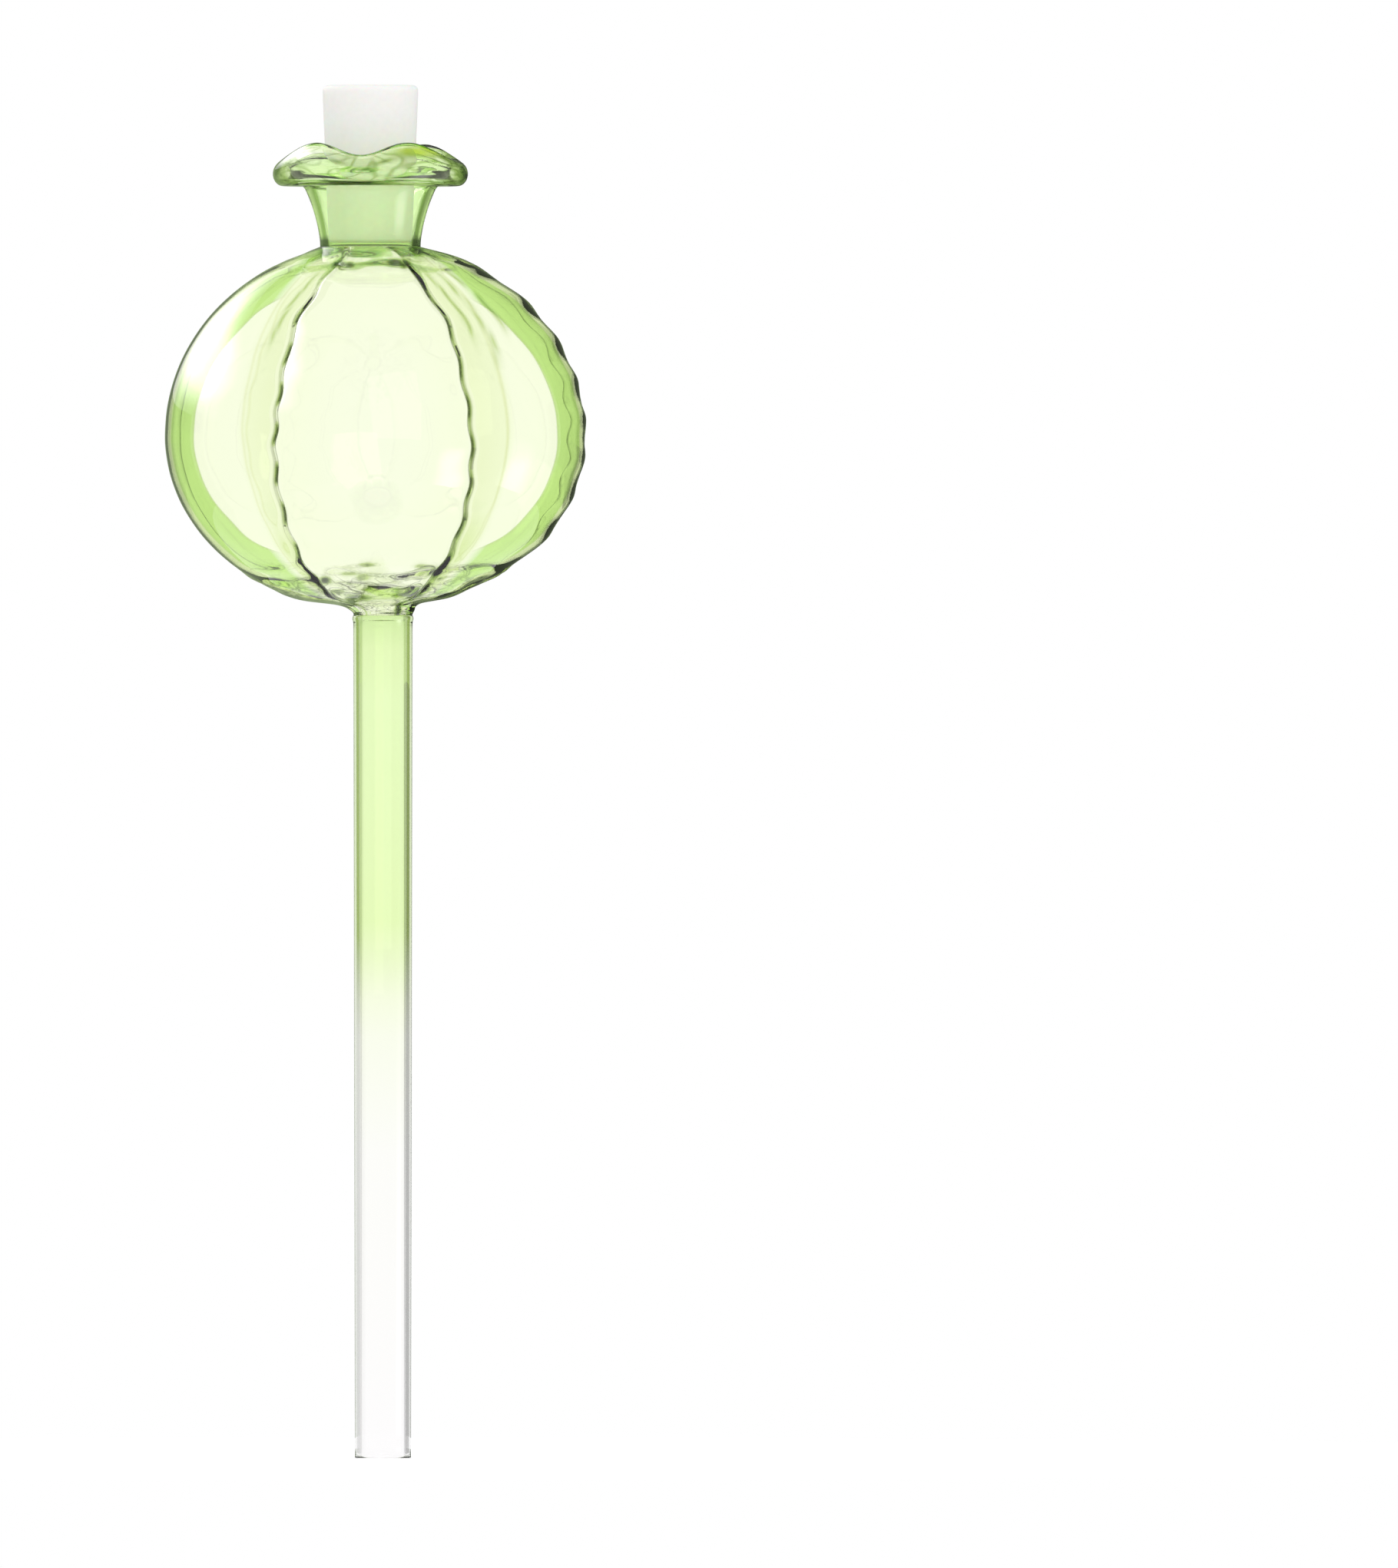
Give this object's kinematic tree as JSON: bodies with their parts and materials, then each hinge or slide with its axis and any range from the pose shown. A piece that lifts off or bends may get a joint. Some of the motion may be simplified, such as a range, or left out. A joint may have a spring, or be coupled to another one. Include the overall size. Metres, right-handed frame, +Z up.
{
  "type": "watering globe",
  "caption": "Hand-blown glass bulb on a long open stem that waters a plant pot slowly, with a ruffled filler neck and a pull-out stopper.",
  "frame": {"origin": "centre of the open tip of the stem, where it goes down into the soil", "axes": "+Z up along the stem, -Y towards the viewer of the picture, +X to the viewer's right"},
  "size_m": [0.0806, 0.0846, 0.2623],
  "materials": {
    "bulb_glass": "clear, thin, pale yellow-green blown glass",
    "neck_glass": "clear, thick, mid-green blown glass",
    "stem_glass": "clear drawn tube, green at the top and colourless at the tip",
    "stopper_silicone": "satin, slightly see-through white silicone"
  },
  "bodies": {
    "glass": {"globe": "bulb_glass", "neck": "neck_glass", "stem": "stem_glass"},
    "plug": {"stopper": "stopper_silicone"}
  },
  "joints": [
    {"name": "stopper_pull", "type": "slide", "parent": "glass", "child": "plug", "axis": [0, 0, 1], "range_m": [0, 0.045]}
  ]
}
